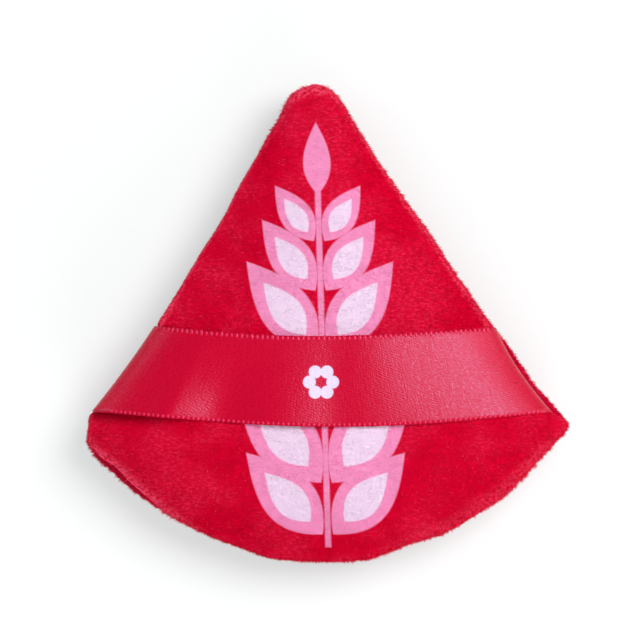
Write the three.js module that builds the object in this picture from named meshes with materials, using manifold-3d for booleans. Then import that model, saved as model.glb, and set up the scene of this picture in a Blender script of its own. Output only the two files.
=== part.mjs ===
// A fan-shaped powder puff: two velour panels sewn round a sponge pad, with a satin ribbon across.
// Millimetres, +Z up. The puff lies on its back, its tip towards +Y, and its box is centred on X and Y.

import * as THREE from "three";
import { mergeVertices } from "three/addons/utils/BufferGeometryUtils.js";
import Module from "manifold-3d";

const wasm = await Module();
wasm.setup();

// Driving dimensions: the outline of the back panel, seen from the front

const puffWidth = 84;
const puffHeight = 83;
const tipRadius = 5.5;
const tipOffset = -2.7; // the tip leans to the left
const baseBulge = 21.8; // from the corners' level down to the lowest point of the base arc
const baseOffset = -0.75; // the base arc's centre, left of the middle
const leftCornerRadius = 4.5;
const rightCornerRadius = 1.3;
const leftDrawIn = 1.2; // how far the filling draws each side in
const rightDrawIn = 0.7;

// Driving dimensions: the cover

const fabricThickness = 1.3; // knitted base with its short pile
const frontDepth = 8.5; // from the seam's plane to the front's crown
const backDepth = 8;
const restDepth = 0.5; // how deep the back's crown is pressed flat where it rests
const allowanceWidth = 5; // turned in along the seam
const seamSetback = 0.8; // the back rolls this far past the front, so the seam lies to the front
const crownRoundness = 2.4; // exponent of the crown's superellipse
const crownDropShare = 0.1; // of the height: the crown's middle lies this far under the box's middle

// Driving dimensions: the ribbon

const ribbonWidth = 15;
const ribbonThickness = 0.35;
const ribbonFromCorner = 3.8; // along the side, from a corner's arc to the ribbon's lower edge
const ribbonSeamSpan = 16.5; // the length of side seam that the ribbon's slanted end takes
const ribbonSag = 3.1; // how far the middle of the ribbon hangs towards the base
const ribbonLift = 1.2; // free height under the middle of the ribbon
const ribbonTuck = 4.5; // caught between the allowances
const partingReach = 2.5; // the seam closes within this distance of the ribbon's edges

// Driving dimensions: the threads

const threadDiameter = 0.3;
const stitchLength = 4;
const stitchInset = 0.7; // from the bottom of the seam's groove to the stitch line
const closingGap = 36; // length of the base arc left open to turn and fill the puff
const loopShare = 0.75; // of the thread's diameter: half the width of a lockstitch loop
const cornerCutShare = 0.15; // of a stitch's length: how far it cuts across a corner

// Clearances

const clearance = 0.3; // between pieces that touch
const stitchClearance = 0.2; // round a thread in its hole

// Steps of the meshes

const halfBaseSteps = 7;
const rightCornerSteps = 3;
const leftCornerSteps = 4;
const upperSideSteps = 4;
const tipSteps = 5;
const crownSteps = 6;
const lipSteps = 2;
const ribbonCrownSteps = 8;
const ribbonLipSteps = 4;
const ribbonAcrossSteps = 3;

// Places that follow from the driving dimensions

const seamLevel = backDepth - restDepth;
const closedHalfGap = clearance / 2; // between the seam's plane and each allowance
const partedHalfGap = clearance + ribbonThickness / 2; // where the ribbon's end lies between them

const frontLipInset = seamSetback + fabricThickness; // where the groove ends and the allowances begin
const backLipInset = fabricThickness;
const rawEdgeInset = frontLipInset + allowanceWidth; // both allowances end here
const stitchLineInset = frontLipInset + stitchInset;

const quarterTurn = Math.PI / 2;
const threadRadius = threadDiameter / 2;

// The pad leaves the corner behind the groove free, where threads run and cut across the outline's turns.
const coreInset = stitchLineInset + threadRadius + clearance + cornerCutShare * stitchLength;

// The outline: arcs at the tip, the corners and the base, and two sides that are drawn in a little

function circleAt(x, y, radius) {
  return { centre: new THREE.Vector2(x, y), radius };
}

const baseRadius = ((puffWidth / 2) ** 2 + baseBulge ** 2) / (2 * baseBulge);
const baseCircle = circleAt(baseOffset, baseRadius - puffHeight / 2, baseRadius);

// A corner's circle touches the base arc from inside and the box's left (-1) or right (1) side.
function cornerCircle(side, radius) {
  const x = side * (puffWidth / 2 - radius);
  const fromBaseCentre = baseRadius - radius;
  const y = baseCircle.centre.y - Math.sqrt(fromBaseCentre ** 2 - (x - baseCircle.centre.x) ** 2);
  return circleAt(x, y, radius);
}

const rightCorner = cornerCircle(1, rightCornerRadius);
const leftCorner = cornerCircle(-1, leftCornerRadius);
const tip = circleAt(tipOffset, puffHeight / 2 - tipRadius, tipRadius);

// The direction, as an angle, of the outward normal of the straight line that touches two circles.
function touchingNormal(from, to) {
  const line = to.centre.clone().sub(from.centre);
  return line.angle() - Math.acos((from.radius - to.radius) / line.length());
}

function angleFromBase(circle) {
  return circle.centre.clone().sub(baseCircle.centre).angle();
}

function arc({ centre, radius }, startAngle, endAngle) {
  return new THREE.EllipseCurve(centre.x, centre.y, radius, radius, startAngle, endAngle, false);
}

function pointOn({ centre, radius }, angle) {
  return new THREE.Vector2(Math.cos(angle), Math.sin(angle)).multiplyScalar(radius).add(centre);
}

// A side between two circles, whose middle is drawn in by a given depth.
function drawnSide(from, to, drawIn) {
  const angle = touchingNormal(from, to);
  const start = pointOn(from, angle);
  const end = pointOn(to, angle);
  const inward = new THREE.Vector2(-Math.cos(angle), -Math.sin(angle));
  const control = start.clone().add(end).divideScalar(2).addScaledVector(inward, 2 * drawIn);
  return new THREE.QuadraticBezierCurve(start, control, end);
}

const rightNormal = touchingNormal(rightCorner, tip);
const leftNormal = touchingNormal(tip, leftCorner);
const rightSide = drawnSide(rightCorner, tip, rightDrawIn);
const leftSide = drawnSide(tip, leftCorner, leftDrawIn);

// Shares of the way from a start to an end, the end left out
function evenShares(start, end, steps) {
  return Array.from({ length: steps }, (_, step) => start + (step / steps) * (end - start));
}

// Shares of a side's length, from its corner: where the seam is parted for the ribbon, and above that
function sideShares(side) {
  const lower = ribbonFromCorner / side.getLength();
  const upper = (ribbonFromCorner + ribbonSeamSpan) / side.getLength();
  const parting = partingReach / side.getLength();
  return {
    below: [0, lower - parting],
    parted: [...evenShares(lower, upper, ribbonAcrossSteps), upper],
    above: evenShares(upper + parting, 1, upperSideSteps),
  };
}

const rightShares = sideShares(rightSide);
const leftShares = sideShares(leftSide);

// The left side runs from the tip down to its corner, so that its shares are turned round.
function turned(shares) {
  return shares.map((share) => 1 - share).reverse();
}

const rightBaseArc = arc(baseCircle, -quarterTurn, angleFromBase(rightCorner));
const rightCornerArc = arc(rightCorner, angleFromBase(rightCorner), rightNormal);
const tipArc = arc(tip, rightNormal, leftNormal);
const leftCornerArc = arc(leftCorner, leftNormal, angleFromBase(leftCorner));
const leftBaseArc = arc(baseCircle, angleFromBase(leftCorner), -quarterTurn);

// Counter-clockwise from the base's lowest point: a curve, shares of its length, and half the gap there
const outlineSpans = [
  [rightBaseArc, evenShares(0, 1, halfBaseSteps), closedHalfGap],
  [rightCornerArc, evenShares(0, 1, rightCornerSteps), closedHalfGap],
  [rightSide, rightShares.below, closedHalfGap],
  [rightSide, rightShares.parted, partedHalfGap],
  [rightSide, rightShares.above, closedHalfGap],
  [tipArc, evenShares(0, 1, tipSteps), closedHalfGap],
  [leftSide, turned(leftShares.above), closedHalfGap],
  [leftSide, turned(leftShares.parted), partedHalfGap],
  [leftSide, turned(leftShares.below), closedHalfGap],
  [leftCornerArc, evenShares(0, 1, leftCornerSteps).slice(1), closedHalfGap],
  [leftBaseArc, evenShares(0, 1, halfBaseSteps), closedHalfGap],
];

// Stations: places on the outline, each with a ray towards a target, along which a section is laid out

// The slant turns a distance at right angles to the outline into a distance along the ray.
function makeStation(curve, curveShare, target, halfGap) {
  const point = curve.getPointAt(curveShare);
  const tangent = curve.getTangentAt(curveShare);
  const outward = new THREE.Vector2(tangent.y, -tangent.x);
  const ray = target.clone().sub(point);
  const reach = ray.length();
  ray.divideScalar(reach);
  return { point, ray, reach, slant: -1 / ray.dot(outward), halfGap };
}

// A place inset from the outline, moved on by a share of the way that is left to the target.
function placeAt({ point, ray, reach, slant }, { inset, share = 0, height }) {
  const start = inset * slant;
  const place = point.clone().addScaledVector(ray, start + share * (reach - start));
  return new THREE.Vector3(place.x, place.y, height);
}

const crownMiddle = new THREE.Vector2(baseOffset, -puffHeight * crownDropShare);

const stations = outlineSpans.flatMap(([curve, shares, halfGap]) =>
  shares.map((share) => makeStation(curve, share, crownMiddle, halfGap)),
);

// Sections: lists of places with a lift, the height above the seam's plane, or at the back below it

// Up from the edge over the crown, leaving out the crown's middle.
function crownLine(inset, startLift, endLift, steps) {
  const power = 2 / crownRoundness;
  return evenShares(0, quarterTurn, steps).map((angle) => ({
    inset,
    share: 1 - Math.cos(angle) ** power,
    lift: startLift + (endLift - startLift) * Math.sin(angle) ** power,
  }));
}

// From the bottom of a rolled lip round to its outermost place, which the crown line repeats.
function lipLine(lipInset, lipLift, radius, steps) {
  return evenShares(quarterTurn, 0, steps).map((angle) => ({
    inset: lipInset - radius * Math.cos(angle),
    lift: lipLift - radius * Math.sin(angle),
  }));
}

function inFront(places) {
  return places.map(({ lift, ...place }) => ({ ...place, height: seamLevel + lift }));
}

// The back's crown is pressed flat where it would reach below the surface that it rests on.
function atBack(places) {
  return places.map(({ lift, ...place }) => ({ ...place, height: Math.max(seamLevel - lift, 0) }));
}

// Meshes

// A closed skin over rings of equally many points, ended by a fan to a given point at each end.
function skin(startPoint, rings, endPoint) {
  const count = rings[0].length;
  const points = [startPoint, ...rings.flat(), endPoint];
  const last = points.length - 1;
  const index = [];
  for (let place = 0; place < count; place++) {
    const next = (place + 1) % count;
    index.push(0, 1 + place, 1 + next);
    for (let ring = 0; ring < rings.length - 1; ring++) {
      const here = 1 + ring * count;
      const beyond = here + count;
      index.push(here + place, beyond + place, beyond + next);
      index.push(here + place, beyond + next, here + next);
    }
    index.push(last, last - count + next, last - count + place);
  }
  return new THREE.BufferGeometry().setFromPoints(points).setIndex(index);
}

function middleOf(points) {
  const sum = points.reduce((total, point) => total.add(point), new THREE.Vector3());
  return sum.divideScalar(points.length);
}

// A skin whose rings follow the outline, from the section that a function gives for each station.
function outlineSkin(startHeight, sectionAt, endHeight) {
  const lines = stations.map((station) => sectionAt(station).map((place) => placeAt(station, place)));
  const rings = lines[0].map((_, step) => lines.map((line) => line[step]));
  const middleAt = (height) => new THREE.Vector3(crownMiddle.x, crownMiddle.y, height);
  return skin(middleAt(startHeight), rings, middleAt(endHeight));
}

function solidOf(geometry) {
  const bare = geometry.clone();
  bare.deleteAttribute("normal");
  bare.deleteAttribute("uv");
  const merged = mergeVertices(bare);
  return new wasm.Manifold(
    new wasm.Mesh({
      numProp: 3,
      vertProperties: merged.getAttribute("position").array,
      triVerts: new Uint32Array(merged.index.array),
    }),
  );
}

function geometryOf(solid) {
  const { vertProperties, triVerts } = solid.getMesh();
  const geometry = new THREE.BufferGeometry();
  geometry.setAttribute("position", new THREE.BufferAttribute(vertProperties, 3));
  return geometry.setIndex(new THREE.BufferAttribute(triVerts, 1));
}

// The cover's panels: an outer crown, a rolled lip, an allowance turned in flat, and the inner crown

function panelLine({ halfGap }, lipInset, depth) {
  const lipLift = halfGap + fabricThickness;
  return [
    ...crownLine(lipInset - fabricThickness, lipLift, depth, crownSteps).reverse(),
    ...lipLine(lipInset, lipLift, fabricThickness, lipSteps).reverse(),
    { inset: rawEdgeInset, lift: halfGap },
    { inset: rawEdgeInset, lift: lipLift },
    ...crownLine(lipInset, lipLift, depth - fabricThickness, crownSteps),
  ];
}

function frontPanel() {
  const top = seamLevel + frontDepth;
  const section = (station) => inFront(panelLine(station, frontLipInset, frontDepth));
  return outlineSkin(top, section, top - fabricThickness);
}

function backPanel() {
  const innerBottom = seamLevel - backDepth + fabricThickness;
  const section = (station) => atBack(panelLine(station, backLipInset, backDepth)).reverse();
  return outlineSkin(innerBottom, section, 0);
}

// The sponge pad: two crowns under the panels, and a slot round its edge for the allowances

function padCrown({ halfGap }, depth) {
  const startLift = halfGap + fabricThickness + clearance;
  return crownLine(coreInset, startLift, depth - fabricThickness - clearance, crownSteps);
}

function foamCore() {
  const inside = fabricThickness + clearance;
  const section = (station) => {
    const slotEnd = { inset: rawEdgeInset + clearance, lift: station.halfGap + inside };
    return [
      ...inFront([...padCrown(station, frontDepth).reverse(), slotEnd]),
      ...atBack([slotEnd, ...padCrown(station, backDepth)]),
    ];
  };
  return outlineSkin(seamLevel + frontDepth - inside, section, seamLevel - backDepth + inside);
}

// The ribbon: lines along it, from its lower to its upper edge, run from one side seam to the other

// Each line has a left and a right station, which share a target in the middle.
const ribbonLines = rightShares.parted.map((rightShare, step) => {
  const leftShare = 1 - leftShares.parted[step];
  const target = leftSide.getPointAt(leftShare).add(rightSide.getPointAt(rightShare)).divideScalar(2);
  return {
    acrossShare: step / ribbonAcrossSteps,
    left: makeStation(leftSide, leftShare, target, partedHalfGap),
    right: makeStation(rightSide, rightShare, target, partedHalfGap),
    middleHeight: target.y,
  };
});

const ribbonWidening = ribbonWidth - (ribbonLines.at(-1).middleHeight - ribbonLines[0].middleHeight);

// One face of the ribbon, from the end of its tuck, out round the front's lip and up to the middle.
function ribbonFaceLine(outwards) {
  const lipLift = partedHalfGap + fabricThickness;
  const radius = fabricThickness + clearance + ribbonThickness / 2 + outwards;
  const top = frontDepth + ribbonLift + ribbonThickness / 2 + outwards;
  return inFront([
    { inset: frontLipInset + ribbonTuck, lift: lipLift - radius },
    ...lipLine(frontLipInset, lipLift, radius, ribbonLipSteps),
    ...crownLine(frontLipInset - radius, lipLift, top, ribbonCrownSteps),
    { inset: frontLipInset - radius, share: 1, lift: top },
  ]);
}

// A place on the ribbon, moved towards the base by its sag, most in the middle.
function ribbonPlace(line, side, place) {
  const point = placeAt(line[side], place);
  const share = place.share ?? 0;
  const sag = ribbonSag + (0.5 - line.acrossShare) * ribbonWidening;
  point.y -= sag * (1 - (1 - share) ** 2);
  return point;
}

function ribbon() {
  const outer = ribbonFaceLine(ribbonThickness / 2);
  const inner = ribbonFaceLine(-ribbonThickness / 2);
  const ringAt = (side) => (_, step) => [
    ...ribbonLines.map((line) => ribbonPlace(line, side, outer[step])),
    ...ribbonLines.map((line) => ribbonPlace(line, side, inner[step])).reverse(),
  ];
  const leftRings = outer.map(ringAt("left"));
  const rightRings = outer.map(ringAt("right")).reverse().slice(1);
  const rings = [...leftRings, ...rightRings];
  return skin(middleOf(rings[0]), rings, middleOf(rings.at(-1)));
}

// The stitch line, just behind the seam's groove: its height holds the seam's half gap at each place
const seamLine = new THREE.CatmullRomCurve3(
  stations.map((station) => placeAt(station, { inset: stitchLineInset, height: station.halfGap })),
  true,
);
const closingShare = closingGap / seamLine.getLength() / 2; // each way from the lowest point of the base

// Evenly spaced stitches between two shares of the seam line, which may run past its start.
function stitchesBetween(startShare, endShare) {
  const count = Math.round(((endShare - startShare) * seamLine.getLength()) / stitchLength);
  return Array.from({ length: count }, (_, step) => {
    const share = (startShare + ((step + 0.5) / count) * (endShare - startShare) + 1) % 1;
    const { x, y, z: halfGap } = seamLine.getPointAt(share);
    const { x: alongX, y: alongY } = seamLine.getTangentAt(share);
    const along = new THREE.Vector3(alongX, alongY, 0).normalize();
    return { point: new THREE.Vector3(x, y, seamLevel), along, halfGap };
  });
}

const seamStitches = stitchesBetween(closingShare, 1 - closingShare);
const closingStitches = stitchesBetween(-closingShare, closingShare);

// Threads: square tubes with mitred corners, which run over the allowances and dip through the stitch holes

const loopHalfWidth = loopShare * threadDiameter;
const loopEnd = threadRadius + stitchClearance / 2; // the two threads' loops face each other in the seam

// From the seam's plane to the middle of a thread that runs over an allowance.
function runLift({ halfGap }) {
  return halfGap + fabricThickness + stitchClearance + threadRadius;
}

function threadPlace({ point, along }, forward, lift) {
  const place = point.clone().addScaledVector(along, forward);
  place.z += lift;
  return { place, along };
}

function threadTube(places) {
  const up = new THREE.Vector3(0, 0, 1);
  const rings = places.map(({ place, along }, step) => {
    const before = places[Math.max(step - 1, 0)].place;
    const after = places[Math.min(step + 1, places.length - 1)].place;
    const arriving = place.clone().sub(before).normalize();
    const leaving = after.clone().sub(place).normalize();
    const tangent = arriving.clone().add(leaving).normalize();
    const left = up.clone().cross(along).normalize();
    const across = tangent.clone().cross(left);
    const turn = Math.max(tangent.dot(arriving), tangent.dot(leaving));
    return [
      place.clone().addScaledVector(across, threadRadius / turn),
      place.clone().addScaledVector(left, threadRadius),
      place.clone().addScaledVector(across, -threadRadius / turn),
      place.clone().addScaledVector(left, -threadRadius),
    ];
  });
  return skin(middleOf(rings[0]), rings, middleOf(rings.at(-1)));
}

// A lockstitch thread on the front's (1) or the back's (-1) allowances, with one loop in each stitch hole.
function lockstitchThread(side) {
  return threadTube(
    seamStitches.flatMap((stitch) => [
      threadPlace(stitch, -loopHalfWidth, side * runLift(stitch)),
      threadPlace(stitch, -loopHalfWidth, side * loopEnd),
      threadPlace(stitch, loopHalfWidth, side * loopEnd),
      threadPlace(stitch, loopHalfWidth, side * runLift(stitch)),
    ]),
  );
}

// A running stitch, which passes through both allowances at every hole.
function runningThread() {
  return threadTube(
    closingStitches.flatMap((stitch, step) => {
      const lift = step % 2 ? -runLift(stitch) : runLift(stitch);
      return [threadPlace(stitch, 0, lift), threadPlace(stitch, 0, -lift)];
    }),
  );
}

const holeLength = 2 * (loopHalfWidth + threadRadius + stitchClearance);
const holeWidth = threadDiameter + 2 * stitchClearance;
const holeDepth = 2 * (partedHalfGap + fabricThickness + stitchClearance);

const stitchHoles = [...seamStitches, ...closingStitches].map(({ point, along }) => {
  const hole = new THREE.BoxGeometry(holeLength, holeWidth, holeDepth);
  hole.rotateZ(Math.atan2(along.y, along.x));
  hole.translate(point.x, point.y, point.z);
  return solidOf(hole);
});

function withStitchHoles(geometry) {
  return geometryOf(stitchHoles.reduce((solid, hole) => solid.subtract(hole), solidOf(geometry)));
}

// Materials and the assembled puff

const velour = { color: 0xc9082f, roughness: 0.95, metalness: 0 };
const satin = { color: 0xd8304f, roughness: 0.4, metalness: 0 };
const sponge = { color: 0xf3ead9, roughness: 1, metalness: 0 };
const threadFinish = { color: 0xb10a2b, roughness: 0.6, metalness: 0 };

const puff = new THREE.Group();

function addPiece(name, geometry, finish) {
  const mesh = new THREE.Mesh(geometry, new THREE.MeshStandardMaterial(finish));
  mesh.name = name;
  puff.add(mesh);
}

addPiece("front_panel", withStitchHoles(frontPanel()), velour);
addPiece("back_panel", withStitchHoles(backPanel()), velour);
addPiece("foam_core", foamCore(), sponge);
addPiece("ribbon", withStitchHoles(ribbon()), satin);
addPiece("seam_needle_thread", lockstitchThread(1), threadFinish);
addPiece("seam_bobbin_thread", lockstitchThread(-1), threadFinish);
addPiece("closing_thread", runningThread(), threadFinish);

export default puff;
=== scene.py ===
# %% [markdown]
# A fan-shaped powder puff, dressed round its CAD frame.
#
# The real puff is two velour panels, sewn together, turned right side out and filled with a
# sponge pad. A satin ribbon across the front holds the fingers. The frame gives each piece its
# place. This lesson adds what a frame can't have: cloth that swells, pile, weave and light.

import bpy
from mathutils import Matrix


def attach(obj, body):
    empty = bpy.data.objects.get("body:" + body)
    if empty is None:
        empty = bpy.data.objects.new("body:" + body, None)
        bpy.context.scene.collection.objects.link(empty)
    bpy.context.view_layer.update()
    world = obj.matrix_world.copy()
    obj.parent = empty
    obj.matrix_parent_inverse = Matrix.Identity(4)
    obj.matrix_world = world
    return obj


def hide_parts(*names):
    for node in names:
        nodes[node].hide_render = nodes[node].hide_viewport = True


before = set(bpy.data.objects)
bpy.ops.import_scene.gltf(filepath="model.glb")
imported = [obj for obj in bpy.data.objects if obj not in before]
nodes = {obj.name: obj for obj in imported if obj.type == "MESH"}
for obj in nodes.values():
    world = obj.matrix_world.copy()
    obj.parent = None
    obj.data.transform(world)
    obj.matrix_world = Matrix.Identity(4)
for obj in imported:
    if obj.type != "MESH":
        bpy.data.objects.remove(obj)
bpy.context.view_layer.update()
print("CAD nodes:", sorted(nodes))

# %% Helpers that every cell uses
import math
from functools import reduce

import bpy
import numpy as np
from mathutils import Vector
from mathutils.bvhtree import BVHTree

MM = 0.001  # the frame is in metres, and a maker thinks in millimetres
UP = Vector((0, 0, 1))


def linear(red, green, blue):
    """A colour as a paint chart gives it, 0 to 255, turned into the light values of a shader."""
    values = np.array([red, green, blue]) / 255
    low, high = values / 12.92, ((values + 0.055) / 1.055) ** 2.4
    return (*np.where(values <= 0.04045, low, high), 1.0)


def smooth(share):
    """A share from 0 to 1 that leaves and arrives gently."""
    share = np.clip(share, 0, 1)
    return share * share * (3 - 2 * share)


def in_scene(name, data):
    """An object at the origin that holds a mesh, a lamp or a camera."""
    piece = bpy.data.objects.new(name, data)
    bpy.context.scene.collection.objects.link(piece)
    return piece


def mesh_piece(name, points, faces, round_shading=True):
    """A mesh object. Points are in millimetres."""
    mesh = bpy.data.meshes.new(name)
    corners = [[int(corner) for corner in face] for face in faces]
    mesh.from_pydata((np.asarray(points) * MM).tolist(), [], corners)
    mesh.polygons.foreach_set("use_smooth", [round_shading] * len(mesh.polygons))
    return in_scene(name, mesh)


def made_mesh(piece):
    """The plain mesh that a piece's modifiers make of it."""
    view = bpy.context.evaluated_depsgraph_get()
    return bpy.data.meshes.new_from_object(piece.evaluated_get(view))


def triangle_count(piece):
    return sum(len(face.vertices) - 2 for face in piece.data.polygons)


print("Helpers ready")

# %% [markdown]
# The camera looks straight down on the puff, which lies on its back. A long lens a good way off
# keeps the outline true, as in a catalogue picture. The width of the view is chosen at the level
# of the side seam, because the outline is there.

# %% Camera
VIEW_WIDTH = 111.3  # of the square picture, at the seam's level
VIEW_CENTRE = (-1.48, 0.43)
SEAM_LEVEL = 7.5  # height of the seam's plane above the table
CAMERA_HEIGHT = 650.0

lens_piece = bpy.data.cameras.new("camera")
lens_piece.sensor_width = 36  # full frame
lens_piece.lens = lens_piece.sensor_width * (CAMERA_HEIGHT - SEAM_LEVEL) / VIEW_WIDTH
camera = in_scene("camera", lens_piece)
camera.location = Vector((*VIEW_CENTRE, CAMERA_HEIGHT)) * MM
bpy.context.scene.camera = camera
print(f"Lens {lens_piece.lens:.0f} mm")

# %% [markdown]
# The outline is the one that the cover was cut to: an arc for the base, two sides, and three
# round corners. It could be drawn by hand as a curve. Writing it from the same circles as the
# frame keeps the soft pieces on it, and any number of places can be taken along it.

# %% The outline's circles
PUFF_WIDTH, PUFF_HEIGHT = 84.0, 83.0
TIP_RADIUS, TIP_OFFSET = 5.5, -2.7
BASE_BULGE, BASE_OFFSET = 21.8, -0.75
LEFT_RADIUS, RIGHT_RADIUS = 4.5, 1.3
LEFT_DRAW_IN, RIGHT_DRAW_IN = 1.2, 0.7

base_radius = ((PUFF_WIDTH / 2) ** 2 + BASE_BULGE**2) / (2 * BASE_BULGE)
base_centre = np.array([BASE_OFFSET, base_radius - PUFF_HEIGHT / 2])
tip_centre = np.array([TIP_OFFSET, PUFF_HEIGHT / 2 - TIP_RADIUS])


def corner_centre(side, radius):
    """The centre of a corner's circle, which touches the base arc from inside."""
    x = side * (PUFF_WIDTH / 2 - radius)
    drop = math.sqrt((base_radius - radius) ** 2 - (x - BASE_OFFSET) ** 2)
    return np.array([x, base_centre[1] - drop])


right_centre = corner_centre(1, RIGHT_RADIUS)
left_centre = corner_centre(-1, LEFT_RADIUS)


def angle_to(start, end):
    return math.atan2(end[1] - start[1], end[0] - start[0])


def touching_normal(start, start_radius, end, end_radius):
    """The direction in which a line that touches two circles faces outward."""
    span = np.linalg.norm(end - start)
    return angle_to(start, end) - math.acos((start_radius - end_radius) / span)


right_normal = touching_normal(right_centre, RIGHT_RADIUS, tip_centre, TIP_RADIUS)
left_normal = touching_normal(tip_centre, TIP_RADIUS, left_centre, LEFT_RADIUS)
print(f"Base arc radius {base_radius:.1f} mm")

# %% [markdown]
# The spans are drawn one after another, from the lowest point of the base and round to the right.
# Then places are taken along them a like distance apart. These stations carry everything that
# follows: each ring of the cover has one point at each station.

# %% Places along the outline
FINE = 400  # places taken on each span before they are spaced evenly
STATIONS = 480


def arc(centre, radius, start, end):
    turn = (end - start) % (2 * math.pi)
    angles = start + turn * np.linspace(0, 1, FINE, endpoint=False)
    return centre + radius * np.stack([np.cos(angles), np.sin(angles)], 1)


def drawn_side(start_centre, start_radius, end_centre, end_radius, normal, draw_in):
    """A side seam, which the filling draws in a little at its middle."""
    outward = np.array([math.cos(normal), math.sin(normal)])
    start = start_centre + start_radius * outward
    end = end_centre + end_radius * outward
    bend = (start + end) / 2 - 2 * draw_in * outward
    t = np.linspace(0, 1, FINE, endpoint=False)[:, None]
    return (1 - t) ** 2 * start + 2 * t * (1 - t) * bend + t**2 * end


down = -math.pi / 2
right_end, left_end = angle_to(base_centre, right_centre), angle_to(base_centre, left_centre)
spans = [
    arc(base_centre, base_radius, down, right_end),
    arc(right_centre, RIGHT_RADIUS, right_end, right_normal),
    drawn_side(right_centre, RIGHT_RADIUS, tip_centre, TIP_RADIUS, right_normal, RIGHT_DRAW_IN),
    arc(tip_centre, TIP_RADIUS, right_normal, left_normal),
    drawn_side(tip_centre, TIP_RADIUS, left_centre, LEFT_RADIUS, left_normal, LEFT_DRAW_IN),
    arc(left_centre, LEFT_RADIUS, left_normal, left_end),
    arc(base_centre, base_radius, left_end, down),
]


def evenly_spaced(line, count):
    """Places a like distance apart on a closed line, and how far along it each one is."""
    closed = np.vstack([line, line[:1]])
    lengths = np.concatenate([[0], np.cumsum(np.linalg.norm(np.diff(closed, axis=0), axis=1))])
    along = np.arange(count) / count * lengths[-1]
    return np.stack([np.interp(along, lengths, closed[:, k]) for k in (0, 1)], 1), lengths


outline, run = evenly_spaced(np.vstack(spans), STATIONS)
perimeter = run[-1]
span_starts = run[np.arange(len(spans)) * FINE] / perimeter
print(f"Perimeter {perimeter:.0f} mm; the spans start at {np.round(span_starts, 3)} of it")

# %% [markdown]
# Every section of the cover is laid out on a ray from the outline to the middle of the crown. An
# inset moves a place in from the outline, at right angles to it, and a share moves it on along
# the ray. The rays of a fan never cross, so the skin can't fold over itself at the corners.

# %% Rays
CROWN_MIDDLE = np.array([BASE_OFFSET, -0.1 * PUFF_HEIGHT])

tangents = np.roll(outline, -1, 0) - np.roll(outline, 1, 0)
tangents /= np.linalg.norm(tangents, axis=1)[:, None]
outwards = np.stack([tangents[:, 1], -tangents[:, 0]], 1)
rays = CROWN_MIDDLE - outline
reach = np.linalg.norm(rays, axis=1)
rays /= reach[:, None]
slants = -1 / np.sum(rays * outwards, axis=1)


def places(inset, share):
    """Points in plan for all stations: inset may be one value or one a station."""
    start = np.broadcast_to(inset, reach.shape) * slants
    return outline + rays * (start + share * (reach - start))[:, None]


print(f"Reach from {reach.min():.0f} to {reach.max():.0f} mm, slant up to {slants.max():.2f}")

# %% [markdown]
# The seam doesn't run exactly along the outline: the filling pushes it out here and the stitches
# draw it in there, by a few tenths of a millimetre. On the lower left and the right the back rolls
# past the front and shows as a lip. The two panels' insets are therefore drawn as curves over the
# way round the puff. A second plan says where the edge's pile is brushed up, and there a pale
# sheen is painted on it, and a third where it is combed down.

# %% Where each panel's edge lies
# Share of the way round from the base's lowest point, front panel's inset, back panel's inset
EDGE_PLAN = [
    (0.000, 0.15, 0.30), (0.030, 0.05, 0.20), (0.043, 0.48, 0.60), (0.062, 1.00, 1.10),
    (0.092, 0.70, 0.80), (0.106, 0.90, 1.00), (0.125, 0.92, 1.05), (0.135, 0.74, 0.90),
    (0.147, 0.90, 1.00), (0.176, 1.28, 1.40), (0.188, 1.10, 1.15), (0.198, 0.80, 0.70),
    (0.208, 0.50, 0.10), (0.219, 1.20, 0.26), (0.242, 1.75, 0.72), (0.260, 1.60, 0.52),
    (0.276, 1.35, 0.36), (0.292, 1.15, 0.44), (0.304, 0.80, 0.50), (0.330, 0.65, 0.46),
    (0.378, 0.30, 0.14), (0.400, 0.50, 0.38), (0.438, 0.60, 0.50), (0.458, 0.40, 0.29),
    (0.469, 0.42, 0.37), (0.479, 0.14, 0.19), (0.490, 0.32, 0.38), (0.500, 0.27, 0.34),
    (0.506, 0.20, 0.27), (0.512, 0.56, 0.65), (0.530, 0.46, 0.55), (0.541, 0.62, 0.65),
    (0.556, 0.38, 0.45), (0.573, 0.32, 0.42), (0.594, 0.16, 0.30), (0.625, 0.46, 0.54),
    (0.655, 0.22, 0.35), (0.690, 0.34, 0.45), (0.708, 0.34, 0.50), (0.718, 0.85, 1.05),
    (0.770, 0.60, 0.80), (0.780, 0.15, 0.45), (0.788, -0.42, 0.20), (0.792, -0.15, 0.30),
    (0.797, 0.30, 0.33), (0.802, 0.32, 0.30), (0.809, 0.22, -0.30), (0.822, 0.34, -0.44),
    (0.833, 1.10, -0.06), (0.846, 0.95, -0.02), (0.860, 0.85, 0.08), (0.872, 0.80, 0.20),
    (0.884, 0.60, 0.34), (0.900, 0.60, 0.55), (0.937, 0.52, 0.65), (0.948, 0.32, 0.45),
    (0.959, -0.02, 0.20),
]
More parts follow.
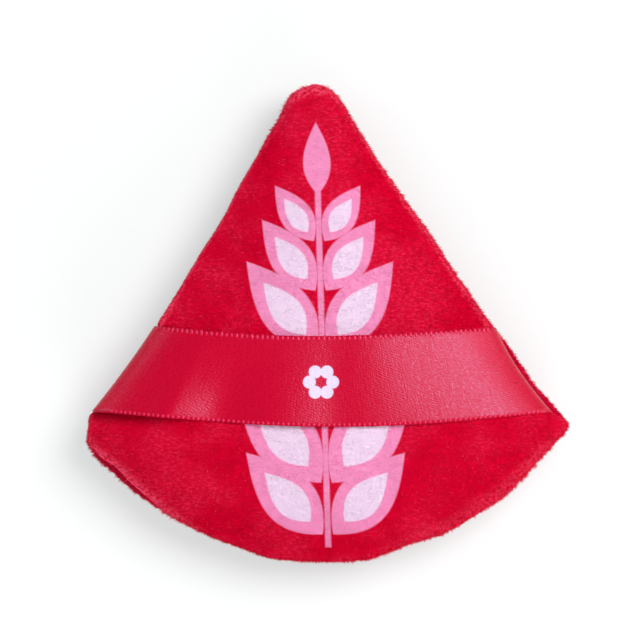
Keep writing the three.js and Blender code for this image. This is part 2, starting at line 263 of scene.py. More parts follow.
# How brushed the pile is also sets how much pale sheen is painted on the edge
# Share of the way round, how brushed the pile is, how far in, and times as many locks on the edge
BRUSH_PLAN = [
    (0.000, 0.05, 1.0, 1.6), (0.030, 0.10, 1.0, 2.0), (0.050, 0.25, 1.8, 1.6),
    (0.090, 0.40, 2.2, 1.5), (0.150, 0.50, 2.2, 1.5), (0.180, 0.60, 1.8, 1.5),
    (0.198, 0.30, 1.0, 1.5), (0.219, 0.20, 0.6, 1.6), (0.300, 0.75, 0.8, 1.3),
    (0.450, 0.85, 0.8, 1.2), (0.475, 0.70, 0.9, 1.4), (0.490, 0.90, 1.2, 1.8),
    (0.505, 1.30, 1.6, 1.8), (0.530, 0.90, 1.4, 1.6), (0.545, 0.35, 1.0, 1.2),
    (0.590, 0.70, 0.4, 2.0), (0.670, 0.70, 0.4, 2.1), (0.700, 1.00, 0.9, 2.2),
    (0.725, 1.00, 0.9, 2.2), (0.780, 0.50, 0.4, 2.0), (0.800, 0.30, 0.6, 1.2),
    (0.810, 0.90, 1.2, 1.6), (0.822, 1.20, 1.5, 1.6), (0.860, 1.20, 1.4, 1.6),
    (0.884, 1.00, 1.2, 1.6), (0.900, 0.70, 0.9, 1.8), (0.918, 0.20, 0.6, 1.8),
    (0.940, 0.10, 0.6, 1.8),
]
# Share of the way round, and how smoothly the edge's pile is combed down, as on the left side
COMBED_PLAN = [(0.00, 0.0), (0.555, 0.0), (0.585, 1.0), (0.79, 1.0), (0.81, 0.0)]


def around(plan, column):
    """A value for each station, joined up smoothly from a plan."""
    shares = np.array([row[0] for row in plan] + [1.0])
    values = np.array([row[column] for row in plan] + [plan[0][column]])
    at = np.arange(STATIONS) / STATIONS
    here = np.clip(np.searchsorted(shares, at, side="right") - 1, 0, len(shares) - 2)
    part = smooth((at - shares[here]) / (shares[here + 1] - shares[here]))
    return values[here] + part * (values[here + 1] - values[here])


front_inset, back_inset = around(EDGE_PLAN, 1), around(EDGE_PLAN, 2)
brushed, brushed_in, edge_locks = (around(BRUSH_PLAN, column) for column in (1, 2, 3))
combed = around(COMBED_PLAN, 1)
print(f"Front panel inset {front_inset.min():.2f} to {front_inset.max():.2f} mm")

# %% [markdown]
# The crown of a stuffed panel rises steeply from its rolled edge and is nearly flat on top. A
# superellipse has that shape with one number for its roundness, so the same formula serves the
# form that is simulated, the panels and the ribbon.

# %% The crown's shape
FABRIC = 1.3  # velour with its pile
HALF_GAP = 0.12  # between the seam's plane and a panel's rolled edge
FRONT_DEPTH, BACK_DEPTH = 8.5, 8.0
ROUNDNESS = 2.4


def crown(share, start, end):
    """Height above the seam's plane at a share of the way from the edge to the middle."""
    return start + (end - start) * (1 - (1 - share) ** ROUNDNESS) ** (1 / ROUNDNESS)


def quarter_turn(steps):
    """Angles at even steps up to a right angle."""
    return np.linspace(0, math.pi / 2, steps + 1)[1:]


LIP = HALF_GAP + FABRIC
print("Crown height at a tenth of the way:", round(crown(0.1, LIP, FRONT_DEPTH), 2), "mm")

# %% [markdown]
# A ring is one line of points round the puff. A cover is a stack of rings with a skin over them,
# closed at both ends, so it always has an inside and its faces all look outward.

# %% Skins over rings
def ring_skin(name, start, rings, end):
    """A closed skin over rings of equally many points, with a fan at each end."""
    count = len(rings[0])
    points = np.vstack([[start], *rings, [end]])
    here = np.arange(count)
    beyond = (here + 1) % count
    faces = [[0, 1 + i, 1 + j] for i, j in zip(here, beyond)]
    for k in range(len(rings) - 1):
        a, b = 1 + k * count, 1 + (k + 1) * count
        faces += np.stack([a + here, b + here, b + beyond, a + beyond], 1).tolist()
    last, final = len(points) - 1, len(points) - 1 - count
    faces += [[last, final + j, final + i] for i, j in zip(here, beyond)]
    return mesh_piece(name, points, faces)


def ring(inset, share, lift, side):
    """One ring of points. Side is 1 in front of the seam's plane and -1 behind it."""
    heights = SEAM_LEVEL + side * np.broadcast_to(lift, reach.shape)
    return np.column_stack([places(inset, share), heights])


print("Ring tools ready")

# %% [markdown]
# A sewn cover isn't a perfect crown: the filling pushes it out, the seam holds it back, and the
# spare cloth along the curved edge gathers in small puckers. Cloth simulation gives this for
# little work. The form is remeshed into even squares, held along its seam, and blown up softly.
# It is made ten times as large while it is simulated, because the solver is meant for cushions.

# %% The form to be simulated
SIM_SCALE = 10
VOXEL = 1.5  # width of a square
SIM_START = 0.94  # of the crown's height: the form swells from there
FORM_RINGS, FORM_INSET, FORM_EDGE = 21, 0.3, 1.0

form_shares = np.linspace(0, 1, FORM_RINGS + 1)[:-1] ** 2
middle = [*CROWN_MIDDLE, SEAM_LEVEL]


def form_rings(side, depth):
    return [
        ring(FORM_INSET, share, SIM_START * crown(share, FORM_EDGE, depth), side)
        for share in form_shares
    ]


form = ring_skin(
    "cover_form",
    np.add(middle, [0, 0, SIM_START * FRONT_DEPTH]),
    form_rings(1, FRONT_DEPTH)[::-1] + form_rings(-1, BACK_DEPTH),
    np.subtract(middle, [0, 0, SIM_START * BACK_DEPTH]),
)
print("Form faces:", len(form.data.polygons))

# %% Remesh and simulate
PRESSURE = 4.0
SPARE_CLOTH = 0.03  # the cover is cut this much larger than the form
HELD_BAND = 1.2  # points this near to the seam's plane are held
FRAMES = 20


def simulate(piece):
    """Swells the form with cloth that is pinned along the seam."""
    piece.data.transform(piece.matrix_world.Scale(SIM_SCALE, 4))
    remesh = piece.modifiers.new("Even squares", "REMESH")
    remesh.mode = "VOXEL"
    remesh.voxel_size = VOXEL * SIM_SCALE * MM
    even = made_mesh(piece)
    piece.modifiers.clear()
    piece.data = even
    seam = piece.vertex_groups.new(name="seam")
    held = [
        v.index for v in even.vertices
        if abs(v.co.z / MM / SIM_SCALE - SEAM_LEVEL) < HELD_BAND
    ]
    seam.add(held, 1.0, "REPLACE")
    cloth = piece.modifiers.new("Cloth", "CLOTH")
    settings = cloth.settings
    settings.quality = 6
    settings.mass = 0.3
    settings.use_pressure = True
    settings.uniform_pressure_force = PRESSURE
    settings.tension_stiffness = settings.compression_stiffness = 25
    settings.shear_stiffness = 10
    settings.bending_stiffness = 0.4
    settings.shrink_min = -SPARE_CLOTH
    settings.vertex_group_mass = "seam"
    settings.effector_weights.gravity = 0
    cloth.point_cache.frame_end = FRAMES
    for number in range(1, FRAMES + 1):
        bpy.context.scene.frame_set(number)
    swollen = made_mesh(piece)
    piece.modifiers.clear()
    piece.data = swollen
    swollen.transform(piece.matrix_world.Scale(1 / SIM_SCALE, 4))
    bpy.context.scene.frame_set(1)
    print(f"Simulated {len(swollen.vertices)} points, {len(held)} held by the seam")


simulate(form)

# %% [markdown]
# The panels are then laid over the simulated form: a finer skin takes its height from it, point
# by point, within a cap. Its rolled edges and the seam's groove, which are finer than the
# simulation's squares, stay as they were drawn.

# %% Heights from the simulated form
CAP = 0.6  # the furthest that the simulation may move the cover
SETTLED = 0.45  # share of its swelling that is left once the sponge has evened it out
GRIP = 0.05  # share of the way over which the seam's hold fades
FAR = 40  # a distance that is surely outside the puff

form_tree = BVHTree.FromPolygons(
    [v.co / MM for v in form.data.vertices],
    [list(p.vertices) for p in form.data.polygons],
)


def swell(points, share, side):
    """How far the simulated form lies outside the drawn ring, in the panel's own direction."""
    if share == 0:
        return np.zeros(len(points))
    moved = []
    for x, y, z in points:
        start = Vector((x, y, SEAM_LEVEL + side * FAR))
        hit = form_tree.ray_cast(start, Vector((0, 0, -side)))[0]
        moved.append(0 if hit is None else SETTLED * side * (hit.z - z))
    return np.clip(moved, -CAP, CAP) * smooth(share / GRIP)


print("Form tree ready")

# %% [markdown]
# The ribbon is sewn in with the panels and presses on them, so its plan comes before they are
# made. Its edges are drawn as smooth curves through a few places that were measured.

# %% The ribbon's plan
LOWER_EDGE = [(-41.0, -15.35), (-31.2, -16.0), (-18, -17.2), (-5, -17.8), (8, -17.7),
              (19.4, -17.2), (30, -16.3), (38.7, -15.4)]
UPPER_EDGE = [(-30.2, -0.6), (-23.4, -1.2), (-15.0, -1.9), (-5.0, -2.3), (4.0, -2.2),
              (15.9, -1.6), (24.7, -1.1), (29.0, -0.9)]
LEFT_BOW, RIGHT_BOW = 0.3, 0.85  # how far the middle of each end is drawn in


def edge_curve(measured):
    """A smooth curve through an edge's places: y from x."""
    xs, ys = np.array(measured).T
    return np.polynomial.Polynomial.fit(xs, ys, 4), xs[0], xs[-1]


lower_curve, lower_left, lower_right = edge_curve(LOWER_EDGE)
upper_curve, upper_left, upper_right = edge_curve(UPPER_EDGE)


def ribbon_plan(across, along):
    """A place on the ribbon in plan. Across is 0 at the lower edge, along is 0 at the left."""
    lower_x = lower_left + along * (lower_right - lower_left)
    upper_x = upper_left + along * (upper_right - upper_left)
    x = lower_x + across * (upper_x - lower_x)
    y = (1 - across) * lower_curve(lower_x) + across * upper_curve(upper_x)
    bow = 4 * across * (1 - across)
    x = x + bow * (LEFT_BOW * (1 - along) ** 4 - RIGHT_BOW * along**4)
    return np.stack([x, y], -1)


def ribbon_share(points):
    """The reverse: how far across and along the ribbon points in plan lie."""
    x, y = points[:, 0], points[:, 1]
    across = (y - lower_curve(x)) / (upper_curve(x) - lower_curve(x))
    start = lower_left + across * (upper_left - lower_left)
    end = lower_right + across * (upper_right - lower_right)
    return across, (x - start) / (end - start)


print("Ribbon's middle:", np.round(ribbon_plan(0.5, 0.5), 1))

# %% [markdown]
# Lengthwise the ribbon wraps round the rolled edge, climbs over the crown and stands clear of it,
# so that fingers fit under; across its width it is nearly flat. Slow waves along it give the satin
# its light and dark bands. They could be simulated, but drawn bumps put each where it belongs.

# %% The ribbon's height
RIBBON_TOP = 9.75  # above the seam's plane, at the middle
RIBBON_START = 1.9  # and at its ends
# Slow waves along the ribbon: where each crest lies, its height, its half width, the side of the
# ribbon that it is strongest on, from 0, the lower edge, to 1, and how far across it reaches
WAVES = [
    (0.156, 0.29, 0.028, 0.0, 0.81),
    (0.180, 1.05, 0.100, 0.0, 0.36),
    (0.274, -1.30, 0.079, 0.0, 0.61),
    (0.397, 0.49, 0.100, 0.0, 0.62),
    (0.528, -0.18, 0.045, 0.0, 1.20),
    (0.634, 0.15, 0.078, 1.0, 1.20),
    (0.800, -0.18, 0.100, 0.5, 0.62),
]


def ribbon_height(across, along):
    height = SEAM_LEVEL + crown(1 - np.abs(2 * along - 1), RIBBON_START, RIBBON_TOP)
    for crest, rise, width, strong_at, spread in WAVES:
        hold = np.exp(-(((across - strong_at) / spread) ** 2))
        height = height + rise * hold * np.exp(-(((along - crest) / width) ** 2))
    return height


print(f"Ribbon's middle stands {ribbon_height(0.5, 0.5):.1f} mm above the table")

# %% [markdown]
# Each panel is one closed piece of velour: the crown, the edge that rolls down to the seam, the
# allowance turned in, and the inner face. The back is pressed flat by the table, and the ribbon
# holds the front down. The rings also carry what the pile needs to know later: where it is brushed
# up, which also sets a painted sheen, where it is combed down, and where the cloth lies in the
# seam's groove, which sets a painted shade.

# %% Panels
CROWN_RINGS, LIP_RINGS, INNER_RINGS = 84, 10, 12
ALLOWANCE = 5.0  # turned in along the seam
PRESSED_LEVEL = 0.3  # the back's pile is pressed flat on the table, under its cloth

BRUSHED_START = 0.5  # share of the brushed band after which it fades
COMBED_IN = 1.5  # how far in from the edge the pile is combed down
# Where the painted shade of the seam's groove starts on the rolled edge, and how fast it comes in
GROOVE_START, GROOVE_RUN = 0.3, 0.3  # how far round the rolled edge the seam's groove starts
# Less brushing on the back also means less painted sheen there
BACK_BRUSHED, BACK_BRUSHED_LIP = 0.4, 0.15  # the back's pile is less brushed, least at the lip
LIP_HIDDEN, LIP_FADE = 0.3, 0.4  # the back's lip shows once it stands out by more than this
RIBBON_WIDTH = 15.0
COVER_CLEARANCE = 0.45  # from the ribbon's outer face down to the cover
RISE_BESIDE = 0.7  # how fast the cover may rise again beside the ribbon
DENT, DENT_HALF = 1.7, 2.0  # the ribbon's sewn end presses the velour down along its lower edge
DENT_FROM, DENT_RUN = -24.0, 13.0  # it starts at this x and deepens to the left over this much

lip_shows = smooth((front_inset - back_inset - LIP_HIDDEN) / LIP_FADE)
crown_shares = (np.arange(CROWN_RINGS) / CROWN_RINGS) ** 2
inner_shares = (np.arange(INNER_RINGS) / INNER_RINGS) ** 2


def ribbon_dent(points):
    """How far the ribbon's left end presses the cover in, deepest under its lower edge."""
    off = (points[:, 1] - lower_curve(points[:, 0])) / DENT_HALF
    return DENT * np.exp(-(off**2)) * smooth((DENT_FROM - points[:, 0]) / DENT_RUN)


def under_ribbon(points):
    """The greatest height that the ribbon leaves the cover, which rises again beside it."""
    across, along = ribbon_share(points)
    top = ribbon_height(np.clip(across, 0, 1), np.clip(along, 0, 1)) - COVER_CLEARANCE
    beside = np.maximum(np.maximum(-across, across - 1), 0) * RIBBON_WIDTH
    return top + RISE_BESIDE * beside**2


def held_down(points, below):
    """Lowers points in place where the ribbon's end dents the cover and where it lies on it."""
    points[:, 2] -= ribbon_dent(points)
    points[:, 2] = np.minimum(points[:, 2], under_ribbon(points) - below)


def panel_rings(inset, depth, side):
    """The rings of a panel from the crown's middle to the inner face's, in three lots."""
    crowned = []
    for share in crown_shares[::-1]:
        points = ring(inset, share, crown(share, LIP, depth), side)
        points[:, 2] += side * swell(points, share, side)
        crowned.append(points)
    lip = [
        ring(inset + FABRIC * (1 - math.cos(a)), 0, LIP - FABRIC * math.sin(a), side)
        for a in quarter_turn(LIP_RINGS)
    ]
    lip += [ring(inset + FABRIC + ALLOWANCE, 0, lift, side) for lift in (HALF_GAP, LIP)]
    inner = [
        ring(inset + FABRIC, share, crown(share, LIP, depth - FABRIC - CAP), side)
        for share in inner_shares
    ]
    return crowned, lip, inner


def pile_plan(hidden, side):
    """Per ring, how brushed (painted sheen) and combed the pile is, how deep in the groove
    (painted shade).
    """
    brushed_and_sheen, flat = [], []
    for share in crown_shares[::-1]:
        way_in = share * reach
        brushed_and_sheen.append(brushed * (1 - smooth(way_in / brushed_in - BRUSHED_START)))
        flat.append(combed * (1 - smooth(way_in / COMBED_IN - BRUSHED_START)))
    brushed_and_sheen += [brushed * (1 - k / LIP_RINGS) for k in range(LIP_RINGS)] + [brushed * 0] * hidden
    if side < 0:
        less = (1 - lip_shows) * BACK_BRUSHED + BACK_BRUSHED_LIP * lip_shows
        brushed_and_sheen = [row * less for row in brushed_and_sheen]
    # The groove value paints shade on the cloth down in the seam's groove
    turned_in = smooth((np.arange(LIP_RINGS) / LIP_RINGS - GROOVE_START) / GROOVE_RUN)
    deep = np.concatenate([np.zeros(CROWN_RINGS), turned_in, np.ones(hidden)])
    groove_shade = np.outer(deep, np.ones(STATIONS))
    return {"brushed": brushed_and_sheen, "combed": flat + [combed] * (LIP_RINGS + hidden), "groove": groove_shade}


def panel(name, inset, depth, side):
    """One velour panel. Side is 1 for the front and -1 for the back."""
    crowned, lip, inner = panel_rings(inset, depth, side)
    rings = crowned + lip + inner
    if side > 0:
        for points in crowned:
            held_down(points, 0)
        start = crowned[0].mean(0)
        end = np.add(middle, [0, 0, depth - FABRIC - CAP])
        for points in inner:
            held_down(points, FABRIC)
    else:
        for points in rings:
            points[:, 2] = np.maximum(points[:, 2], PRESSED_LEVEL)
        for points in inner:
            points[:, 2] = np.maximum(points[:, 2], PRESSED_LEVEL + FABRIC)
        end = [*crowned[0].mean(0)[:2], PRESSED_LEVEL]
        start = [*middle[:2], PRESSED_LEVEL + FABRIC]
    piece = ring_skin(name, start, rings[::side], end)
    for label, values in pile_plan(len(lip) - LIP_RINGS + len(inner), side).items():
        attribute = piece.data.attributes.new(label, "FLOAT", "POINT")
        attribute.data.foreach_set("value", np.hstack([[0], *values[::side], [0]]))
    return piece


front_cover = panel("front_cover", front_inset, FRONT_DEPTH, 1)
back_cover = panel("back_cover", back_inset, BACK_DEPTH, -1)
bpy.data.objects.remove(form)
for cover in (front_cover, back_cover):
    print(cover.name, triangle_count(cover), "triangles")

# %% [markdown]
# The ribbon runs from seam to seam and hangs a little towards the base. Its surface is laid out as
# lines of points along it. At each end a line turns round the rolled edge and goes on into the
# seam, where the ribbon is caught between the two panels.

# %% The ribbon's lines
RIBBON = 0.35  # thickness
ACROSS_STEPS, ALONG_STEPS, WRAP_STEPS = 24, 150, 12
WRAP_RADIUS = 1.35  # of the turn round the rolled edge
TUCK, TUCK_STEPS = 3.0, 3  # how far the ends go on into the seam
LEAD = 6  # the point from the end on that gives an end its direction
ENDS_FINER = 0.75  # how much closer the points stand near the ends


def ribbon_line(across):
    """One line of points along the ribbon, on its outer face."""
    even = np.linspace(0, 1, ALONG_STEPS + 1)
    closer = 0.5 - 0.5 * np.cos(np.linspace(0, math.pi, ALONG_STEPS + 1))
    alongs = ENDS_FINER * closer + (1 - ENDS_FINER) * even
    return np.column_stack([ribbon_plan(across, alongs), ribbon_height(across, alongs)])


def wrapped_end(line):
    """From the end of a line round the rolled edge and into the seam."""
    start, inward = line[0], line[LEAD] - line[0]
    inward[2] = 0
    inward /= np.linalg.norm(inward)
    drop = start[2] - SEAM_LEVEL
    wrap = [
        start + inward * WRAP_RADIUS * (1 - math.cos(a)) - [0, 0, drop * math.sin(a)]
        for a in quarter_turn(WRAP_STEPS)
    ]
    tuck = [wrap[-1] + inward * TUCK * (k + 1) / TUCK_STEPS for k in range(TUCK_STEPS)]
    return np.array(tuck[::-1] + wrap[::-1])


ribbon_lines = []
for across in np.linspace(0, 1, ACROSS_STEPS + 1):
    line = ribbon_line(across)
    ribbon_lines.append(np.vstack([wrapped_end(line), line, wrapped_end(line[::-1])[::-1]]))
ribbon_grid = np.array(ribbon_lines)
widths = np.linalg.norm(np.diff(ribbon_grid, axis=0), axis=2).sum(0)

# %% [markdown]
# The lines become a mesh of squares with a thickness. Its map is the flat ribbon in millimetres,
# so that the weave can be laid along the threads however the ribbon bends.

# %% Ribbon mesh
def grid_faces(rows, columns):
    index = np.arange(rows * columns).reshape(rows, columns)
    corners = [index[:-1, :-1], index[:-1, 1:], index[1:, 1:], index[1:, :-1]]
    return np.stack([c.ravel() for c in corners], 1)


rows, columns = ribbon_grid.shape[:2]
satin_band = mesh_piece("satin_band", ribbon_grid.reshape(-1, 3), grid_faces(rows, columns))

weave_map = satin_band.data.uv_layers.new(name="weave")
loop_vertices = np.array([loop.vertex_index for loop in satin_band.data.loops])
steps_mm = np.linalg.norm(np.diff(ribbon_grid[rows // 2], axis=0), axis=1)
along_mm = np.concatenate([[0], np.cumsum(steps_mm)])
across_mm = np.linspace(0, widths[len(widths) // 2], rows)
flat_place = [along_mm[loop_vertices % columns], across_mm[loop_vertices // columns]]
weave_map.data.foreach_set("uv", np.stack(flat_place, 1).ravel())
wall = satin_band.modifiers.new("Cloth thickness", "SOLIDIFY")
wall.thickness = RIBBON * MM
wall.offset = -1
print(satin_band.name, triangle_count(satin_band), "triangles before its thickness")

# %% [markdown]
# Materials, print and pile are all worked out by nodes. Two small tools keep that short: one adds
# a node with its settings and inputs in a single line, and one lets a formula be written with
# plus, minus and times, as on paper.

# %% Node tools
class Value:
    """What a node gives, a number or a vector, so that it can stand in a formula."""

    def __init__(self, socket):
        self.socket, self.tree = socket, socket.id_data

    def __add__(self, other):
        return maths("ADD", self, other)

    def __sub__(self, other):
        return maths("SUBTRACT", self, other)

    def __rsub__(self, other):
        return maths("SUBTRACT", other, self)

    def __mul__(self, other):
        return maths("MULTIPLY", self, other)

    def __truediv__(self, other):
        return maths("DIVIDE", self, other)

    def __rtruediv__(self, other):
        return maths("DIVIDE", other, self)

    def __abs__(self):
        return maths("ABSOLUTE", self)


def joined(tree, kind, inputs=None, **settings):
    """A new node: its settings, then values or links for its inputs, by name or number."""
    node = tree.nodes.new(kind)
    for key, value in settings.items():
        setattr(node, key, value)
    for key, value in (inputs or {}).items():
        value = getattr(value, "socket", value)
        if isinstance(value, bpy.types.NodeSocket):
            tree.links.new(value, node.inputs[key])
        else:
            node.inputs[key].default_value = value
    return node


def value_of(tree, kind, inputs=None, output=0, **settings):
    """A new node, of which only one output is used."""
    return Value(joined(tree, kind, inputs, **settings).outputs[output])


def maths(operation, *values, clamp=False):
    """One step of a formula; where the first value is a vector, it is done with vectors."""
    tree = next(value.tree for value in values if isinstance(value, Value))
    first = values[0]
    if isinstance(first, Value) and first.socket.type in ("VECTOR", "RGBA"):
        second_input = 3 if operation == "SCALE" else 1
        inputs = {0: first, second_input: values[1]}
        return value_of(tree, "ShaderNodeVectorMath", inputs, operation=operation)
    inputs = dict(enumerate(values))
    return value_of(tree, "ShaderNodeMath", inputs, operation=operation, use_clamp=clamp)


def node_material(name):
    """A new material, and its tree with nothing in it yet."""
    material = bpy.data.materials.new(name)
    material.use_nodes = True
    material.node_tree.nodes.clear()
    return material, material.node_tree


print("Node tools ready")

# %% [markdown]
# The studio is plain: a white table, a large soft lamp high on the right, and an even fill from
# all round. The table shows as pure white by the light that only the camera sees, and what the
# lamps add to it makes the soft shadow on the left.

# %% Table
TABLE = 1500.0  # half its width

table_white, tree = node_material("table_white")
lit = value_of(tree, "ShaderNodeBsdfDiffuse", {"Color": (0.75, 0.80, 0.80, 1)})
shaded = value_of(tree, "ShaderNodeBsdfDiffuse", {"Color": (0.564, 0.53, 0.53, 1)})
glow = value_of(tree, "ShaderNodeEmission", {"Color": (0.856, 1, 1, 1), "Strength": 0.447})
both = value_of(tree, "ShaderNodeAddShader", {0: shaded, 1: glow})
to_camera = value_of(tree, "ShaderNodeLightPath", output="Is Camera Ray")
shown = value_of(tree, "ShaderNodeMixShader", {0: to_camera, 1: lit, 2: both})
joined(tree, "ShaderNodeOutputMaterial", {"Surface": shown})

corners = [(-TABLE, -TABLE, 0), (TABLE, -TABLE, 0), (TABLE, TABLE, 0), (-TABLE, TABLE, 0)]
table = mesh_piece("table", corners, [(0, 1, 2, 3)], round_shading=False)
table.data.materials.append(table_white)
print("Table laid")

# %% [markdown]
# Satin mirrors lamps and velour doesn't, so each lamp works on one of the two alone. That way the
# light on the cloth and the bright bands on the ribbon can be set one at a time. For the same
# reason the fill is nearly dark for rays that a shiny face sends out.

# %% Lamps
# Name, place in metres, width, power, and what it works on
LAMPS = [
    ("key_lamp", (0.34, 0.24, 0.60), 0.50, 3.95, "cloth"),
    ("left_lamp", (-0.70, 0.10, 0.26), 0.4, 0.8, "cloth"),
    ("near_lamp", (0.20, -0.60, 0.20), 0.5, 2.1, "cloth"),
    ("satin_lamp", (0.30, 0.06, 0.64), 0.34, 8.6, "gloss"),
    ("right_glint", (0.54, 0.08, 0.42), 0.40, 4.4, "gloss"),
    ("low_glint", (0.72, 0.05, 0.18), 0.35, 4.0, "gloss"),
    ("left_glint", (-0.70, 0.10, 0.22), 0.30, 3.6, "gloss"),
]
FILL, FILL_IN_GLOSS = 0.44, 0.007

for name, place, width, power, works_on in LAMPS:
    lamp = bpy.data.lights.new(name, "AREA")
    lamp.shape = "DISK"
    lamp.size = width
    lamp.energy = power
    holder = in_scene(name, lamp)
    holder.location = place
    holder.rotation_euler = (-Vector(place)).to_track_quat("-Z", "Y").to_euler()
    holder.visible_glossy = works_on == "gloss"
    holder.visible_diffuse = works_on == "cloth"

world = bpy.data.worlds.new("studio")
world.use_nodes = True
sky = world.node_tree.nodes["Background"]
sky.inputs["Color"].default_value = (1, 1, 1, 1)
from_gloss = value_of(world.node_tree, "ShaderNodeLightPath", output="Is Glossy Ray")
fill = from_gloss * (FILL_IN_GLOSS - FILL) + FILL
world.node_tree.links.new(fill.socket, sky.inputs["Strength"])
bpy.context.scene.world = world
bpy.context.scene.view_settings.view_transform = "Standard"
print(len(LAMPS), "lamps up")

# %% [markdown]
# The print is a leaf sprig in two pinks. Each leaf is a formula in the plan of the puff, so it
# stays sharp from near, and mirroring the sprig at its stem halves the work.

# %% The sprig's print
# For each pair of leaves: how far up the stem it grows from, its length, its width and its angle
LEAF_PAIRS = [
    (-36.5, 19.0, 9.0, 42),
    (-27.5, 22.5, 10.5, 38),
    (-16.5, 19.0, 9.0, 42),
    (-4.5, 19.0, 8.6, 38),
    (5.5, 15.0, 7.0, 36),
    (14.0, 11.5, 5.4, 34),
]
LEAF_TAPER = -0.3  # a leaf's outer half is slimmer than its inner half
LEAF_GAP = 0.9  # from the stem's middle to where the leaves start
TOP_LEAF = (22.0, 12.5, 4.6)
STEM_X, STEM_LEAN = -1.2, 0.03
STEM_FOOT, STEM_HALF = -38.8, 0.5
PALE_SHARE, PALE_START = 0.6, 0.16  # the pale leaf in each leaf: its size, and where it starts
PRINT_EDGE = 3.5  # how fast one colour gives way to the next, in shares a millimetre


def plan_mm(place):
    """The coordinates x and y in millimetres, from Object coordinates."""
    split = joined(place.tree, "ShaderNodeSeparateXYZ", {0: maths("SCALE", place, 1 / MM)})
    return Value(split.outputs[0]), Value(split.outputs[1])


def leaf_field(x, y, length, width):
    """How far inside a leaf a place lies. The leaf starts at the origin and grows along x."""
    centred = x / (length / 2) - 1.0
    taper = maths("MAXIMUM", centred * LEAF_TAPER + 1.0, 0.1)
    return (1.0 - centred * centred) * taper * (width / 2) - abs(y)


def turned(x, y, degrees):
    """The coordinates x and y, seen along a direction that is turned from +Y towards +X."""
    s, c = math.sin(math.radians(degrees)), math.cos(math.radians(degrees))
    return x * s + y * c, x * c - y * s


def sprig_group():
    """A node group: where the pink and the pale leaves lie, from Object coordinates."""
    group = bpy.data.node_groups.new("sprig_print", "ShaderNodeTree")
    group.interface.new_socket("Place", in_out="INPUT", socket_type="NodeSocketVector")
    for tone in ("Pink", "Pale"):
        group.interface.new_socket(tone, in_out="OUTPUT", socket_type="NodeSocketFloat")
    x, y = plan_mm(value_of(group, "NodeGroupInput"))
    beside = abs(x - (y * -STEM_LEAN + STEM_X))
    pink, pale = [], []
    for foot, length, width, angle in LEAF_PAIRS:
        forward, aside = turned(beside - LEAF_GAP, y - foot, angle)
        pink.append(leaf_field(forward, aside, length, width))
        inner = forward - length * PALE_START
        pale.append(leaf_field(inner, aside, length * PALE_SHARE, width * PALE_SHARE))
    foot, length, width = TOP_LEAF
    pink.append(leaf_field(y - foot, beside, length, width))
    within = maths("MINIMUM", y - STEM_FOOT, (foot + 1) - y)
    pink.append(maths("MINIMUM", STEM_HALF - beside, within))
    masks = {}
    for number, fields in enumerate((pink, pale)):
        highest = reduce(lambda field, other: maths("MAXIMUM", field, other), fields)
        masks[number] = maths("MULTIPLY_ADD", highest, PRINT_EDGE, 0.5, clamp=True)
    joined(group, "NodeGroupOutput", masks)
    return group


sprig = sprig_group()
print("Sprig nodes:", len(sprig.nodes))

# %% [markdown]
# Velour is a knit with a dense short pile. Its front is printed and its back is dyed, in a red
# that is painted darker than the front's as shade, which dims the back's lip. Locks whose tips
# catch the light are painted lighter as flecks, a painted highlight, and the rows of the knit show
# as faint streaks painted paler as sheen, most of all where a hand stroked the nap, right of the
# stem. Along the edges the pile is brushed up and a pale sheen is painted on it, and down in the
# seam's groove, where no light gets in, the cloth is painted dark as shade.

# %% Velour
RED = linear(214, 3, 48)
PINK = linear(243, 154, 200)
PALE = linear(241, 219, 240)
# Lighter tips of some locks, a painted highlight
FLECK_HIGHLIGHT = linear(240, 70, 104)
# The paler colour painted on the knit's real rows as sheen
STREAK_SHEEN = linear(234, 40, 82)
# The back's red, painted darker than the front's as shade that dims the back's lip
BACK_SHADE_RED = linear(200, 5, 50)
# A dark red painted as shade down in the seam's groove
GROOVE_SHADE_RED = linear(140, 2, 30)
# A pale sheen painted where the edge's pile is brushed up
BRUSHED_SHEEN = linear(250, 86, 122)

# How fine each pattern is, in spots to the metre
ROWS = (1300, 2900, 1500)  # finer up the puff than across it, so that they run across
NAP, PATCHES, TUFTS, GRAIN = 60, 110, 1700, 5200
ROW_MOST, ROW_LEAST = 0.62, 0.18  # a row's strength above and between the knit's threads
# Where the knit's rows are painted paler as sheen, most right of the stem
STROKED_SHEEN_PLACE = (0.009, 0.0, 0.014)  # in metres
STROKED_SHEEN_NARROW = 1.55  # the stroked place is longer than it is wide
STROKED_SHEEN_MORE, STROKED_SHEEN_FADES = 0.62, -22.0  # at that place, and per metre away from it
STROKED_SHEEN_LEAST = 0.185  # and elsewhere
BRUSHED_SHEEN_MOST, GROOVE_SHADE_MOST = 0.66, 0.65


def noise(tree, place, scale, detail):
    inputs = {"Vector": place, "Scale": scale, "Detail": detail}
    return value_of(tree, "ShaderNodeTexNoise", inputs)


def mapped(place, kind="POINT", **moves):
    """Coordinates that are moved, turned or scaled."""
    return value_of(place.tree, "ShaderNodeMapping", {"Vector": place, **moves}, vector_type=kind)


def softly_over(value, low, high):
    """0 where a value is under low, 1 where it is over high, and smooth between."""
    inputs = {"Value": value, "From Min": low, "From Max": high}
    return value_of(value.tree, "ShaderNodeMapRange", inputs, interpolation_type="SMOOTHSTEP")


def colour_mix(tree, factor, first, second, blend="MIX"):
    inputs = {0: factor, 6: first, 7: second}
    return value_of(tree, "ShaderNodeMix", inputs, 2, data_type="RGBA", blend_type=blend)


def shaded_by(tree, colour, tone):
    """A colour times a number."""
    grey = value_of(tree, "ShaderNodeCombineColor", {0: tone, 1: tone, 2: tone})
    return colour_mix(tree, 1.0, colour, grey, "MULTIPLY")


def surface(tree, look, height, strength, depth):
    """Ends a material with a Principled shader and a fine relief on it."""
    relief = {"Strength": strength, "Distance": depth, "Height": height}
    look["Normal"] = value_of(tree, "ShaderNodeBump", relief)
    shader = value_of(tree, "ShaderNodeBsdfPrincipled", look)
    joined(tree, "ShaderNodeOutputMaterial", {"Surface": shader})


